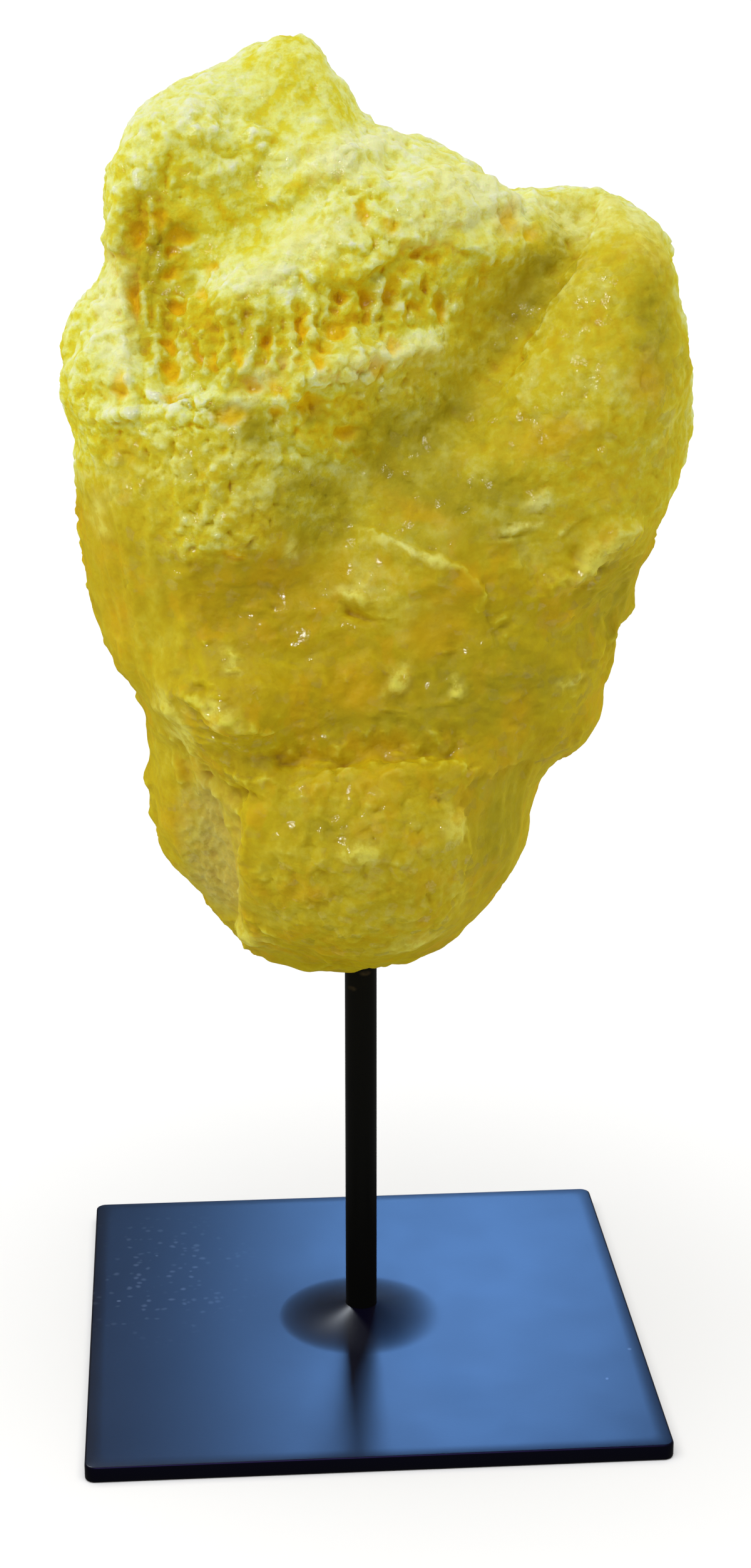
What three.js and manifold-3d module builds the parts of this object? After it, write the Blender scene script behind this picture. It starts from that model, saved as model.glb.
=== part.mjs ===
// A native sulfur specimen on a black steel display stand: a square plate with a low cone drawn up
// around its centre, a round rod standing in the cone, and one lump of sulfur drilled to sit on the rod.
// Millimetres, +Z up, +Y to the back. The origin is the centre of the plate's underside.
import * as THREE from "three";
import { ImprovedNoise } from "three/addons/math/ImprovedNoise.js";
import { mergeVertices } from "three/addons/utils/BufferGeometryUtils.js";
import Module from "manifold-3d";

const wasm = await Module();
wasm.setup();

// Stand
const plateSide = 140;
const plateThickness = 4;
const plateCornerRadius = 2.5;
const plateBevel = 0.5;
const coneRadius = 19.5;
const coneHeight = 3.8;
const coneTopRadius = 5;
const coneCurve = 1.35; // 1 is a straight side, and more is hollow
const coneRings = 7;
const coneRootDepth = 1; // the cone's foot is sunk this far into the plate, to join it
const rodDiameter = 8;
const fitGap = 0.3; // around the rod, in the plate's socket and in the specimen's drilled hole
const roundSides = 36;

// Specimen
const specimenBottom = 104;
const drilledDepth = 34;
const specimenCentre = { x: 3, z: 205 }; // every outline point is seen from here
const frontDepth = 43;
const backDepth = 42;
const roundness = 2.5; // 2 is an ellipsoid's section, and more is squarer
const rimBlurDegrees = 18; // inside the rim, the outline's corners fade out over this angle
const rimBlurSteps = 6;
const sphereDetail = 19;
const frontBias = 0.18; // moves vertices to the front, which has the finer relief

// The specimen's outline seen from the front, x and z, clockwise from its top.
const outline = [
  [-17, 326], [-10, 325], [-5, 319], [-1, 309], [5, 304], [13, 303], [21, 300], [29, 294],
  [38, 290], [47, 291], [55, 292], [63, 288], [70, 281], [70, 270], [74, 257], [76, 244],
  [78, 234], [74, 225], [67, 217], [70, 207], [67, 199], [64, 189], [59, 178], [56, 166],
  [51, 160], [45, 154], [41, 145], [39, 132], [31, 124], [24, 113], [15, 107], [4, 104],
  [-8, 101], [-19, 102], [-28, 106], [-32, 113], [-41, 123], [-49, 133], [-51, 145], [-51, 163],
  [-53, 174], [-60, 184], [-64, 202], [-66, 222], [-66, 238], [-68, 253], [-65, 265], [-57, 275],
  [-58, 287], [-53, 304], [-44, 313], [-29, 320],
];

// Relief: swells and hollows are ovals, crests and gullies follow a line of points. lift is how far the
// surface moves outwards, and inwards where it is negative. turn is in degrees, anticlockwise in x and z.
const frontOvals = [
  { x: -18, z: 316, rx: 18, rz: 14, turn: 0, lift: -7 }, // top knob, set back
  { x: -46, z: 304, rx: 14, rz: 13, turn: 30, lift: 5 }, // crusted left shoulder
  { x: -24, z: 289, rx: 18, rz: 13, turn: 12, lift: -9 }, // upper bowl
  { x: 8, z: 299, rx: 20, rz: 7, turn: -8, lift: -4 }, // trough behind the long crest
  { x: -42, z: 279, rx: 7, rz: 14, turn: 10, lift: -8 }, // cleft beside the left edge
  { x: 10, z: 272, rx: 20, rz: 13, turn: 20, lift: -3 }, // undercut below the long crest
  { x: -58, z: 252, rx: 12, rz: 20, turn: 0, lift: 4 }, // left cheek
  { x: -36, z: 229, rx: 21, rz: 19, turn: 0, lift: 7 }, // granular bulge
  { x: 56, z: 250, rx: 18, rz: 40, turn: 6, lift: 8 }, // right bulge
  { x: 56, z: 230, rx: 13, rz: 10, turn: 30, lift: -3 }, // soft dent in the right bulge
  { x: 60, z: 198, rx: 14, rz: 10, turn: 35, lift: -4 }, // scoop under the bright crescent
  { x: 10, z: 206, rx: 22, rz: 22, turn: 0, lift: 3 }, // waxy middle
  { x: -33, z: 184, rx: 16, rz: 14, turn: -20, lift: 8 }, // low left bulge
  { x: -3, z: 177, rx: 30, rz: 9, turn: 5, lift: -7 }, // hollow above the nose
  { x: -2, z: 144, rx: 29, rz: 27, turn: 0, lift: 13 }, // nose block
  { x: -40, z: 143, rx: 9, rz: 19, turn: 8, lift: -8 }, // fibrous recess left of the nose
  { x: 38, z: 150, rx: 13, rz: 22, turn: 15, lift: -3 }, // plain flank right of the nose
];
const frontLines = [
  { points: [[-31, 269], [-17, 280], [-3, 289], [12, 293], [34, 293]], width: 9, lift: 6 },
  { points: [[46, 286], [36, 271], [24, 254], [6, 236], [-11, 215]], width: 12, lift: -8 },
  { points: [[-58, 249], [-38, 249], [-22, 254], [-6, 257]], width: 8, lift: 5 },
  { points: [[-56, 300], [-54, 280], [-53, 262]], width: 8, lift: 3 },
  { points: [[0, 219], [15, 215], [25, 205], [29, 188]], width: 8, lift: 2 },
  { points: [[38, 206], [50, 211], [60, 218]], width: 8, lift: 3 },
  { points: [[-26, 162], [-5, 163], [21, 166]], width: 8, lift: 4 },
];
const backOvals = [
  { x: -20, z: 300, rx: 22, rz: 20, turn: 0, lift: -8 },
  { x: -34, z: 244, rx: 22, rz: 28, turn: 15, lift: 6 },
  { x: 30, z: 262, rx: 26, rz: 20, turn: -20, lift: -7 },
  { x: 34, z: 214, rx: 24, rz: 24, turn: 0, lift: 7 },
  { x: -14, z: 196, rx: 18, rz: 16, turn: 0, lift: -6 },
  { x: 2, z: 150, rx: 26, rz: 26, turn: 0, lift: 6 },
  { x: -36, z: 162, rx: 12, rz: 16, turn: 0, lift: -5 },
];
const backLines = [
  { points: [[-40, 282], [-12, 268], [14, 250], [22, 230]], width: 8, lift: 5 },
  { points: [[56, 240], [24, 186], [8, 172]], width: 8, lift: -6 },
];
const lumpSizes = [
  { wavelength: 46, lift: 3 },
  { wavelength: 17, lift: 1.5 },
];
const lumpShift = new THREE.Vector3(11.3, 4.7, 8.1); // off the noise's own grid, where it is zero
const rimLumps = 0.25; // how much of the lumps' lift is left at the rim
const sideSway = { lift: 5, perZ: 34, perX: 52 }; // the rim wanders to the front and the back
const reliefEdge = { start: 0.05, full: 0.5 }; // how far round from the rim the relief grows in
const rimEdge = { start: 0.45, full: 0.95 }; // where the outline's corners grow in, 1 is the rim

const degrees = Math.PI / 180;
const noise = new ImprovedNoise();

function mix(a, b, t) {
  return a + (b - a) * t;
}

function smoothstep(low, high, v) {
  const t = Math.min(1, Math.max(0, (v - low) / (high - low)));
  return t * t * (3 - 2 * t);
}

// Solids

function toManifold(geometry) {
  const bare = geometry.clone();
  bare.deleteAttribute("normal");
  bare.deleteAttribute("uv");
  const merged = mergeVertices(bare, 1e-3);
  const vertProperties = merged.attributes.position.array;
  const triVerts = new Uint32Array(merged.index.array);
  return new wasm.Manifold(new wasm.Mesh({ numProp: 3, vertProperties, triVerts }));
}

function toGeometry(manifold) {
  const mesh = manifold.getMesh();
  const geometry = new THREE.BufferGeometry();
  geometry.setAttribute("position", new THREE.BufferAttribute(mesh.vertProperties, 3));
  geometry.setIndex(new THREE.BufferAttribute(mesh.triVerts, 1));
  geometry.computeVertexNormals();
  return geometry;
}

function uprightCylinder(radius, bottom, top) {
  const geometry = new THREE.CylinderGeometry(radius, radius, top - bottom, roundSides);
  geometry.rotateX(Math.PI / 2);
  geometry.translate(0, 0, (bottom + top) / 2);
  return geometry;
}

// Base plate: a bevelled square with the cone joined on and a socket for the rod.

function plateGeometry() {
  const half = plateSide / 2 - plateBevel;
  const inner = half - plateCornerRadius;
  const shape = new THREE.Shape();
  shape.absarc(inner, inner, plateCornerRadius, 0, 90 * degrees);
  shape.absarc(-inner, inner, plateCornerRadius, 90 * degrees, 180 * degrees);
  shape.absarc(-inner, -inner, plateCornerRadius, 180 * degrees, 270 * degrees);
  shape.absarc(inner, -inner, plateCornerRadius, 270 * degrees, 360 * degrees);
  const geometry = new THREE.ExtrudeGeometry(shape, {
    depth: plateThickness - 2 * plateBevel,
    bevelThickness: plateBevel,
    bevelSize: plateBevel,
    bevelSegments: 2,
    curveSegments: 6,
  });
  geometry.translate(0, 0, plateBevel);
  return geometry;
}

// The cone leaves the plate in a soft curve and rises to the rod.
function coneGeometry() {
  const foot = plateThickness - coneRootDepth;
  const profile = [new THREE.Vector2(0, foot), new THREE.Vector2(coneRadius, foot)];
  for (let i = 0; i <= coneRings; i++) {
    const t = i / coneRings;
    const height = plateThickness + Math.pow(t, coneCurve) * coneHeight;
    profile.push(new THREE.Vector2(mix(coneRadius, coneTopRadius, t), height));
  }
  profile.push(new THREE.Vector2(0, plateThickness + coneHeight));
  const geometry = new THREE.LatheGeometry(profile, roundSides);
  geometry.rotateX(Math.PI / 2);
  return geometry;
}

function makeBasePlate() {
  const aboveCone = plateThickness + 2 * coneHeight;
  const socket = uprightCylinder(rodDiameter / 2 + fitGap, plateThickness, aboveCone);
  const solid = toManifold(plateGeometry()).add(toManifold(coneGeometry())).subtract(toManifold(socket));
  return toGeometry(solid);
}

// Rod

const rodBottom = plateThickness + fitGap;
const rodTop = specimenBottom + drilledDepth - fitGap;

function makeRod() {
  return uprightCylinder(rodDiameter / 2, rodBottom, rodTop);
}

// Specimen

// The distance from the specimen's centre to its outline, by direction, from a smooth closed curve.
function outlineRadii() {
  const corners = outline.map(([x, z]) => new THREE.Vector3(x - specimenCentre.x, 0, z - specimenCentre.z));
  const curve = new THREE.CatmullRomCurve3(corners, true, "centripetal");
  const samples = curve.getPoints(1440).map((p) => ({
    angle: Math.atan2(p.z, p.x),
    radius: Math.hypot(p.x, p.z),
  }));
  return samples.sort((a, b) => a.angle - b.angle);
}

const radii = outlineRadii();

function outlineRadius(angle) {
  let low = 0;
  let high = radii.length - 1;
  while (high - low > 1) {
    const middle = (low + high) >> 1;
    if (radii[middle].angle <= angle) low = middle;
    else high = middle;
  }
  const a = radii[low];
  const b = radii[high];
  return mix(a.radius, b.radius, smoothstep(a.angle, b.angle, angle));
}

function blurredRadius(angle) {
  let sum = 0;
  for (let i = -rimBlurSteps; i <= rimBlurSteps; i++) {
    const turned = angle + (i / rimBlurSteps) * rimBlurDegrees * degrees;
    sum += outlineRadius(Math.atan2(Math.sin(turned), Math.cos(turned)));
  }
  return sum / (2 * rimBlurSteps + 1);
}

function ovalLift(oval, x, z) {
  const c = Math.cos(oval.turn * degrees);
  const s = Math.sin(oval.turn * degrees);
  const along = ((x - oval.x) * c + (z - oval.z) * s) / oval.rx;
  const across = (-(x - oval.x) * s + (z - oval.z) * c) / oval.rz;
  return oval.lift * Math.exp(-Math.pow(along * along + across * across, 1.5));
}

function distanceToLine(points, x, z) {
  let nearest = Infinity;
  for (let i = 1; i < points.length; i++) {
    const [ax, az] = points[i - 1];
    const [bx, bz] = points[i];
    const dx = bx - ax;
    const dz = bz - az;
    const t = Math.min(1, Math.max(0, ((x - ax) * dx + (z - az) * dz) / (dx * dx + dz * dz)));
    nearest = Math.min(nearest, Math.hypot(x - ax - t * dx, z - az - t * dz));
  }
  return nearest;
}

function lineLift(line, x, z) {
  const share = distanceToLine(line.points, x, z) / line.width;
  return line.lift * Math.exp(-share * share);
}

function reliefLift(ovals, lines, x, z) {
  const fromOvals = ovals.reduce((sum, oval) => sum + ovalLift(oval, x, z), 0);
  return lines.reduce((sum, line) => sum + lineLift(line, x, z), fromOvals);
}

function lumps(p) {
  return lumpSizes.reduce((sum, { wavelength, lift }) => {
    const q = p.clone().divideScalar(wavelength).add(lumpShift);
    return sum + lift * noise.noise(q.x, q.y, q.z);
  }, 0);
}

// Moves a point of the unit sphere to the specimen's surface. The sphere's Y axis is the specimen's depth.
function specimenPoint(direction) {
  const n = direction.clone();
  n.y -= frontBias * (1 - n.y * n.y);
  n.normalize();
  const flat = Math.hypot(n.x, n.z);
  const deep = Math.abs(n.y);
  const scale = Math.pow(Math.pow(flat, roundness) + Math.pow(deep, roundness), -1 / roundness);
  const angle = Math.atan2(n.z, n.x);
  const rimShare = smoothstep(rimEdge.start, rimEdge.full, flat * scale);
  const reach = mix(blurredRadius(angle), outlineRadius(angle), rimShare) * flat * scale;
  const isFront = n.y < 0;
  const p = new THREE.Vector3(
    specimenCentre.x + Math.cos(angle) * reach,
    n.y * scale * (isFront ? frontDepth : backDepth),
    specimenCentre.z + Math.sin(angle) * reach,
  );
  const outwards = new THREE.Vector3(
    Math.cos(angle) * Math.pow(flat, roundness - 1),
    Math.sign(n.y) * Math.pow(deep, roundness - 1),
    Math.sin(angle) * Math.pow(flat, roundness - 1),
  ).normalize();
  const facing = smoothstep(reliefEdge.start, reliefEdge.full, deep);
  const relief = isFront
    ? reliefLift(frontOvals, frontLines, p.x, p.z)
    : reliefLift(backOvals, backLines, p.x, p.z);
  const lift = facing * relief + mix(rimLumps, 1, facing) * lumps(p);
  p.addScaledVector(outwards, lift);
  p.y += sideSway.lift * Math.sin(p.z / sideSway.perZ + p.x / sideSway.perX);
  return p;
}

function makeSpecimen() {
  const sphere = new THREE.IcosahedronGeometry(1, sphereDetail);
  sphere.deleteAttribute("normal");
  sphere.deleteAttribute("uv");
  const geometry = mergeVertices(sphere, 1e-4);
  const position = geometry.attributes.position;
  for (let i = 0; i < position.count; i++) {
    const p = specimenPoint(new THREE.Vector3().fromBufferAttribute(position, i));
    position.setXYZ(i, p.x, p.y, p.z);
  }
  const belowSpecimen = specimenBottom - drilledDepth;
  const hole = uprightCylinder(rodDiameter / 2 + fitGap, belowSpecimen, specimenBottom + drilledDepth);
  return toGeometry(toManifold(geometry).subtract(toManifold(hole)));
}

// Assembly

const blackSteel = new THREE.MeshStandardMaterial({ color: 0x121316, roughness: 0.3, metalness: 0.1 });
const sulfur = new THREE.MeshStandardMaterial({ color: 0xd6bf33, roughness: 0.55, metalness: 0 });

function namedMesh(name, geometry, material) {
  const mesh = new THREE.Mesh(geometry, material);
  mesh.name = name;
  return mesh;
}

const specimenOnStand = new THREE.Group();
specimenOnStand.add(namedMesh("base_plate", makeBasePlate(), blackSteel));
specimenOnStand.add(namedMesh("support_rod", makeRod(), blackSteel));
specimenOnStand.add(namedMesh("sulfur_specimen", makeSpecimen(), sulfur));

export default specimenOnStand;
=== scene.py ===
"""A native sulfur specimen on a black steel stand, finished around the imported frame.

The specimen's surface is sculpted here from the frame's plain solid: first its long crests, clefts and
ledges, then each zone's own texture. Lengths are metres in the scene. The specimen's tables, and the
code that sculpts it, are in millimetres, with x to the right, y to the back and z up.
"""
import math

import bmesh
import bpy
import numpy as np
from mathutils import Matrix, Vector


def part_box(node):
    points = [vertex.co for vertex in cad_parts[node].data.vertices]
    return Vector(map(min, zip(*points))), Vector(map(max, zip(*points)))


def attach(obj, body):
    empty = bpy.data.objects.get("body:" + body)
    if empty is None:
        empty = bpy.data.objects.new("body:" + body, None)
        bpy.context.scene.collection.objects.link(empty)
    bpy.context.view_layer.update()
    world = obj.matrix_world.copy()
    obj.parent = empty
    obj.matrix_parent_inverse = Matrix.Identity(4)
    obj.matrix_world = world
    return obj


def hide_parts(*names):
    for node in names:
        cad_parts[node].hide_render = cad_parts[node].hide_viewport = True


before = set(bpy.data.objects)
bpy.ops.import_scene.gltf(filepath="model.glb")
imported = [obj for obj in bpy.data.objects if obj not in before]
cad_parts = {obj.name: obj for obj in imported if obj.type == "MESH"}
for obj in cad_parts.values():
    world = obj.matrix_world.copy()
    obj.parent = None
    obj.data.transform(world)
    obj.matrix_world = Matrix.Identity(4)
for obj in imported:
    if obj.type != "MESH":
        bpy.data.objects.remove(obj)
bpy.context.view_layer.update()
MM = 0.001


# Camera, at the photo's angle, and stage
CAMERA_PLACE = (-0.0444, -0.6417, 0.3491)
CAMERA_TARGET = (0.0037, 0.0, 0.1484)
CAMERA_LENS_MM = 63.28
FLOOR_SIZE = 120.0
FLOOR_GREY = 0.86
WORLD_STRENGTH = 0.13
# Soft lights on the specimen: name, where it comes from, strength, spread in degrees, whether it shines
SOFT_LIGHTS = [
    ("key", (-0.4, -0.45, 0.8), 0.95, 20, False),
    ("top", (0, -0.1, 1.0), 0.8, 120, False),
    ("left", (-0.95, 0.25, 0.2), 0.90, 90, False),
    ("right", (0.95, 0.25, 0.1), 1.38, 90, False),
    ("below", (0, -0.3, -1.0), 0.95, 120, True),
    ("low left", (-0.8, -0.4, -0.5), 0.60, 90, False),
    ("low right", (0.8, -0.4, -0.5), 0.25, 90, False),
]
FLOOR_LIGHT = ("overhead", (-0.1, -0.1, 1.0), 3.7, 80)  # the same for the floor
# Lamps: name, place, target, strength, colour, width, height, and the kinds of light that they give
SPECIMEN_LAMPS = [
    ("ceiling", (-0.1, -0.3, 0.6), (0, 0, 0.25), 0.27, (1, 1, 1), 0.3, 0.3, ("diffuse",)),
    ("glint", (-0.35, -0.7, 0.9), (0, 0, 0.2), 9.0, (1, 1, 1), 0.2, 0.2, ("glossy",)),
]
STAND_LAMPS = [
    ("window", (0.14, 1.0, 0.6), (0.02, 0, 0), 6.05, (0.17, 0.42, 1.0), 0.26, 0.3, ("diffuse", "glossy")),
    ("rear", (-0.28, 0.53, 0.78), (0, 0, 0), 5.0, (0.85, 0.92, 1.0), 0.12, 0.12, ("diffuse", "glossy")),
]
PLATE_LAMPS = [
    ("edge", (0, -0.46, 0.85), (0, 0, 0), 8.0, (0.3, 0.2, 1.0), 0.4, 0.4, ("diffuse", "glossy")),
]

# Stand
PLATE_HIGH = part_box("base_plate")[1]
ROD_LOW, ROD_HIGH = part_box("support_rod")
PLATE_HALF = PLATE_HIGH.x
PLATE_TOP = 4 * MM
PLATE_CORNER = 2.5 * MM
PLATE_BEVEL = 0.5 * MM
CONE_RADIUS = 19.5 * MM
CONE_FOOT = CONE_RADIUS + 2 * MM  # where the cone's curve starts to leave the plate
CONE_RINGS = 22
CORNER_SPAN = 1.1  # degrees, seen from the plate's middle, on each side of a rounded corner's own middle
BEVEL_RINGS = 5
ROD_RADIUS = ROD_HIGH.x
ROD_CHAMFER = 0.3 * MM
ROD_STEPS = 64
SOCKET_GAP = 0.06 * MM
SHARP_EDGE = math.radians(40)

# Specimen
VOXEL = 0.68 * MM
MOST_TRIANGLES = 196000
SMOOTHINGS = 45
NORMAL_SMOOTHINGS = 6
NEAR_SMOOTHINGS, FAR_SMOOTHINGS = 8, 60  # what small and large hollows are measured against
HOLE_RADIUS_MM = 4.3
HOLE_TOP_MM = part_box("sulfur_specimen")[0].z / MM + 40
BACK_STEPS = 4  # grades of thinning from the front to the back

# Features of the front, placed by x and z as seen from the front. A line's two reaches are for its two
# sides, seen when walking from its first point to its last.
LINES = [  # points, reach on the left, reach on the right, lift
    # broad forms: a flatter belly, and less of a step over the nose
    ([(-48, 193), (-30, 194), (0, 196), (24, 196)], 12, 10, -3.0),
    ([(-30, 179), (0, 181), (24, 180)], 8, 8, 3.2),
    ([(-22, 162), (0, 163), (20, 163)], 7, 14, -2.6),
    ([(0, 279), (12, 281), (24, 281.5), (38, 280)], 8, 9, 3.0),
    # the long crest, the two brinks below it and the crest above
    ([(-30, 274), (-23, 279), (-15, 283), (-8, 285), (0, 286), (6, 288), (14, 290), (24, 291),
      (37, 290)], 7, 4.5, 1.5),
    ([(-10, 275), (-2, 277), (4, 281), (10, 284), (18, 287), (26, 289)], 3, 1.8, 1.6),
    ([(2, 272), (6, 273), (10, 274), (14, 277), (19, 279)], 2.5, 1.8, 0.8),
    ([(-19, 291), (-13, 294), (-7, 298), (0, 300), (10, 302)], 5, 2.4, 2.2),
    # the valley on the right and the brink at its head
    ([(20, 245), (28, 255), (35, 265), (42, 276), (49, 288)], 6, 6, -4.6),
    ([(24, 279), (29, 277.5), (34, 277), (39, 277.5), (43, 281)], 6, 1.8, 2.6),
    # the pale ledge on the left and the ledge in the middle
    ([(-57, 246), (-50, 247), (-44, 247), (-38, 249), (-33, 252), (-28, 256)], 2.5, 3.0, 1.1),
    ([(-19, 251), (-16, 254), (-12, 256), (-7, 257.5), (-1, 258), (5, 258), (13, 259.5)], 3, 3.2, 2.8),
    # the thin arc, the bright crescent and the edge of the low left bulge
    ([(0, 219.5), (5, 217.5), (10, 215.5), (15, 213.5), (20, 212), (23, 209), (25, 204)], 1.0, 2.6, 1.5),
    ([(40, 206), (45, 208), (49, 210.5), (52, 214), (56, 218), (60, 218)], 2.4, 2.8, 2.6),
    ([(-39, 184), (-36, 182), (-33, 181), (-28, 179.5)], 1.3, 2.6, 2.0),
    # the crevice above the nose and the nose's top edge
    ([(-20, 169.5), (-17, 170.5), (-9, 169.8), (-2, 172), (5, 171.2), (12, 170),
      (18, 171)], 2.2, 1.8, -2.6),
    ([(-25, 165), (-17, 164), (-8, 167), (0, 166), (10, 168), (20, 167)], 1.6, 4.5, 2.2),
    # the groove under the low left bulge, and two cracks right of the middle
    ([(-45, 166), (-40, 163.5), (-34, 161.5), (-29, 162.5)], 3.4, 4.0, -2.2),
    ([(25, 204), (28, 198), (30, 192)], 1.1, 1.1, -0.6),
    ([(33, 218), (36, 210), (39, 205)], 1.1, 1.1, -0.7),
]
STEPS = [  # points, the side that stands up (1 is the left), reach, height
    ([(35, 260), (37, 264), (40, 268.5), (44, 274.5), (46, 278), (50, 284), (53, 290)], -1, 9, 2.8),
    ([(20, 136), (23, 146), (20, 156), (21, 167)], 1, 9, 1.3),
    ([(-30, 120), (-30, 131), (-31, 141), (-30.5, 150), (-31, 158)], -1, 9, 3.6),
    ([(-52, 262), (-52.5, 275), (-51.5, 289), (-46, 297)], 1, 7, 2.0),
]
DRIPS = [  # x and z of the top, x and z of the tip, half-width, lift
    (-24, 268.5, -27.8, 257, 1.7, 3.4), (-30.2, 269, -30, 260.5, 1.5, 2.6),
    (-32.6, 268, -32, 254, 1.3, 2.6), (-36, 263, -36, 255, 1.2, 2.0),
    (-40.3, 267, -40.6, 257, 2.3, 2.8), (-46.5, 268, -46.5, 257, 1.3, 2.2),
    (-49.6, 270, -50.3, 262, 1.1, 1.8), (-48.2, 259, -48.0, 251, 1.2, 1.8),
    (-54, 292, -54.9, 281, 1.4, 2.0), (-54.0, 276, -53.6, 267, 1.1, 1.8),
    (-55.4, 263, -54.8, 254, 1.4, 1.8), (-47.8, 291, -47.5, 282, 1.0, 1.8),
    (-21, 267, -22, 257, 1.2, 1.8), (-17.6, 270, -17.4, 257, 1.2, 2.0),
    (-13.2, 276, -13.4, 262, 1.1, 2.2), (-10.4, 273, -10.3, 266, 1.0, 1.8),
    (-4.8, 277, -4.4, 268, 1.3, 1.6), (1.3, 273, 1.3, 267, 0.8, 1.2), (7.2, 273, 6.6, 266, 1.6, 1.6),
    (13.2, 272, 12.8, 264, 1.2, 1.0), (21.2, 277, 19.6, 268, 1.5, 1.4),
    (-3.4, 263, -3.6, 257, 1.2, 1.6), (-42.5, 167, -39.5, 157, 1.2, 2.0),
    (-37, 158.5, -33, 155, 1.2, 1.8), (-47, 169, -44, 158, 1.2, 1.6),
]
PITS = [  # x, z, half-width, half-height, depth
    (-1.3, 270.3, 1.6, 2.4, 4.2), (3.9, 270.9, 1.8, 2.8, 3.8), (10, 268.6, 1.5, 1.5, 2.6),
    (16.2, 266.4, 1.1, 2.4, 3.0), (14.2, 278, 1.5, 1.7, 2.8), (9.6, 279.4, 1.6, 1.4, 2.6),
    (-7.8, 263.6, 2.4, 2.1, 3.4), (-15.3, 264.6, 1.4, 2.8, 3.2), (-11.9, 257.6, 1.5, 2.4, 3.2),
    (4.1, 260.2, 1.8, 1.5, 3), (0.9, 255.4, 1.7, 1.7, 3), (-26, 253.4, 1.7, 1.4, 3),
    (-21.2, 252.6, 1.4, 1.9, 3), (-14.2, 248.4, 3, 2, 4.6), (-5.8, 241.6, 2.8, 1.6, 3.4),
    (-43.4, 275, 2.5, 1.6, 4), (-43.2, 279.6, 1.8, 1.5, 4), (-42.2, 268, 1.9, 1.7, 4),
    (-41.4, 283, 2.8, 1.9, 4.4), (-46, 287, 2.2, 2.2, 2.8), (-50.8, 283, 1.6, 2.6, 3.8),
    (-51.9, 270.4, 1.4, 3.6, 3.6), (-37, 271, 1.6, 1.3, 2.8), (-44, 261, 1.8, 1.8, 3.2),
    (-43.6, 255.6, 2.2, 2.2, 3.2), (-55.6, 252.4, 1.4, 3, 3.4), (-28.6, 258.4, 1, 2.2, 2.8),
    (-31.5, 246.6, 3.6, 1.6, 2.8), (-43.6, 250.4, 2.8, 1.2, 2.6), (-1.7, 288.6, 1.3, 2.6, 2.6),
    (3.8, 285.6, 1.8, 1.5, 2.2), (31, 286, 2.2, 2.6, 2.2), (36.5, 281.6, 3.2, 1.6, 2.4),
    (25.4, 273, 0.9, 2.2, 1.4), (-20.6, 247.4, 1.4, 1.6, 2.6), (-35, 257.6, 1.1, 1.8, 2.6),
    (-31, 215.6, 2.6, 1.2, 2.8), (-34, 276, 1.6, 1.2, 2.2), (-22.8, 262.4, 0.9, 2.4, 2.4),
    (-6.6, 270.4, 1.1, 2, 2.6), (19.4, 270, 1.1, 1.4, 1.4), (-38, 258.6, 0.9, 2.4, 2.6),
]
BUMPS = [  # x, z, half-width, half-height, turn in degrees, lift
    (-24, 304, 2.8, 2.4, 0, 2.6), (-36.5, 305, 3.4, 2.4, 20, 2.4), (-18, 300.5, 2.4, 1.8, 0, 1.8),
    (-45, 247, 4.6, 1.8, 0, 1.6), (-53.5, 246.4, 2.4, 1.8, 0, 1.6), (-31, 225.6, 4.2, 2.6, 30, 1.8),
    (-43, 216.6, 3.6, 2.4, 10, 1.6), (-34, 235, 2.6, 4.6, -35, 1.6), (-57, 236, 1.6, 1.6, 0, 1.4),
    (-4.5, 205.6, 4.8, 1.3, -4, 1.6), (5.4, 186.6, 1.6, 3.6, -42, 2.0), (19, 183.8, 1.5, 1.7, 0, 1.8),
    (-4, 149.5, 4.2, 2.6, -8, 2.0), (-47, 184, 0.9, 1.4, 30, 1.4), (-47.6, 178.4, 1.8, 2.4, 35, 1.8),
    (-31.4, 194.8, 2.2, 0.7, 0, 1.0), (-31.4, 191.8, 2.6, 0.7, 0, 1.2),
    (-38, 197.6, 1.2, 0.8, -30, 1.0), (-25.4, 177.6, 1.2, 0.8, 30, 1.2), (18, 154, 3.2, 5.0, 10, 1.6),
    (-27, 119, 3.4, 2.6, 0, 1.8), (9, 122, 5.6, 1.8, 8, 1.4), (-10, 164, 4.6, 1.8, 0, 1.2),
    (3, 163, 3.6, 2.2, 0, 1.2), (33, 246, 4.4, 2, 30, 1.6), (38, 226, 3, 1.6, 35, 1.2),
    (33, 219.6, 4.2, 1.0, 8, 1.2), (44, 219, 2.6, 1.0, 40, 1.0),
]


def smoothstep(low, high, value):
    """0 up to low, 1 from high on, and a smooth rise between."""
    t = np.clip((value - low) / (high - low), 0, 1)
    return t * t * (3 - 2 * t)


# Noise

def random_at(cell, salt):
    """A number from 0 to 1 for each whole-numbered cell (n, 3), the same on every run."""
    h = cell[:, 0] * 73856093 ^ cell[:, 1] * 19349663 ^ cell[:, 2] * 83492791 ^ salt * 40503
    h = (h & 0xFFFFFFFF) * 2654435761 & 0xFFFFFFFF
    h = (h ^ h >> 15) * 2246822519 & 0xFFFFFFFF
    h = (h ^ h >> 13) * 3266489917 & 0xFFFFFFFF
    return (h ^ h >> 16) / 4294967296.0


def noise(p, salt=0):
    """Smooth gradient noise of about -1 to 1, with one swell to each unit."""
    base = np.floor(p).astype(np.int64)
    f = p - base
    u = f * f * f * (f * (f * 6 - 15) + 10)
    total = np.zeros(len(p))
    for corner in np.ndindex(2, 2, 2):
        c = np.array(corner)
        cell = base + c
        share = np.prod(np.where(c == 1, u, 1 - u), axis=1)
        slope = np.stack([random_at(cell, salt * 3 + k) for k in range(3)], axis=1) - 0.5
        total += share * np.sum(slope * (f - c), axis=1)
    return total * 2.6


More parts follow.
